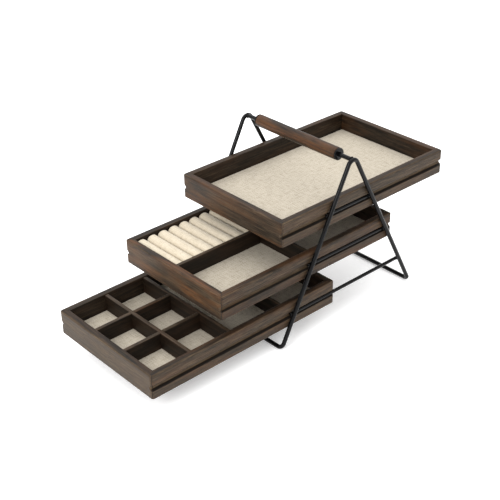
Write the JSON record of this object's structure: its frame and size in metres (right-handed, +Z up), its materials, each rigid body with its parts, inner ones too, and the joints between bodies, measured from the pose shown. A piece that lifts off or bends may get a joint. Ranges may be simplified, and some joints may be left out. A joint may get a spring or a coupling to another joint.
{
  "type": "sliding-tray jewelry carrier",
  "caption": "Jewelry organiser: lined wooden trays, divided and with ring rolls, slide sideways on the rails of a bent black wire A-frame that has a wooden carrying grip.",
  "frame": {"origin": "middle of the footprint of the carrier and its drawn-out trays, on the floor", "axes": "+X along the trays, the way they slide, towards the end the top tray reaches; +Y across the carrier; +Z up"},
  "size_m": [0.4276, 0.1694, 0.1985],
  "materials": {
    "black_steel": "satin black powder coat",
    "tray_wood": "dark walnut stain, low sheen",
    "grip_wood": "reddish walnut stain, low sheen",
    "linen": "natural linen weave",
    "roll_cloth": "cream linen over foam"
  },
  "bodies": {
    "carrier": {"end_frame_near": "black_steel", "end_frame_far": "black_steel", "top_rail_near": "black_steel", "top_rail_far": "black_steel", "middle_rail_near": "black_steel", "middle_rail_far": "black_steel", "bottom_rail_near": "black_steel", "bottom_rail_far": "black_steel", "handle_rod": "black_steel", "handle_grip": "grip_wood", "handle_cap_near": "black_steel", "handle_cap_far": "black_steel"},
    "top_tray": {"top_tray_side_near": "tray_wood", "top_tray_side_far": "tray_wood", "top_tray_end_left": "tray_wood", "top_tray_end_right": "tray_wood", "top_tray_panel": "tray_wood", "top_tray_lining": "linen"},
    "middle_tray": {"middle_tray_side_near": "tray_wood", "middle_tray_side_far": "tray_wood", "middle_tray_end_left": "tray_wood", "middle_tray_end_right": "tray_wood", "middle_tray_panel": "tray_wood", "middle_tray_lining": "linen", "middle_tray_divider_cross": "tray_wood", "middle_tray_divider_long": "tray_wood", "middle_tray_roll_pad": "roll_cloth", "ring_roll_1": "roll_cloth", "ring_roll_2": "roll_cloth", "ring_roll_3": "roll_cloth", "ring_roll_4": "roll_cloth", "ring_roll_5": "roll_cloth", "ring_roll_6": "roll_cloth", "ring_roll_7": "roll_cloth", "ring_roll_8": "roll_cloth"},
    "bottom_tray": {"bottom_tray_side_near": "tray_wood", "bottom_tray_side_far": "tray_wood", "bottom_tray_end_left": "tray_wood", "bottom_tray_end_right": "tray_wood", "bottom_tray_panel": "tray_wood", "bottom_tray_lining": "linen", "bottom_tray_cross_one": "tray_wood", "bottom_tray_cross_two": "tray_wood", "bottom_tray_cross_three": "tray_wood", "bottom_tray_long_near": "tray_wood", "bottom_tray_long_far": "tray_wood"}
  },
  "joints": [
    {"name": "top_tray_slide", "type": "slide", "parent": "carrier", "child": "top_tray", "axis": [1, 0, 0], "range_m": [-0.087, 0.033]},
    {"name": "middle_tray_slide", "type": "slide", "parent": "carrier", "child": "middle_tray", "axis": [1, 0, 0], "range_m": [-0.034, 0.146]},
    {"name": "bottom_tray_slide", "type": "slide", "parent": "carrier", "child": "bottom_tray", "axis": [1, 0, 0], "range_m": [0, 0.293]}
  ]
}
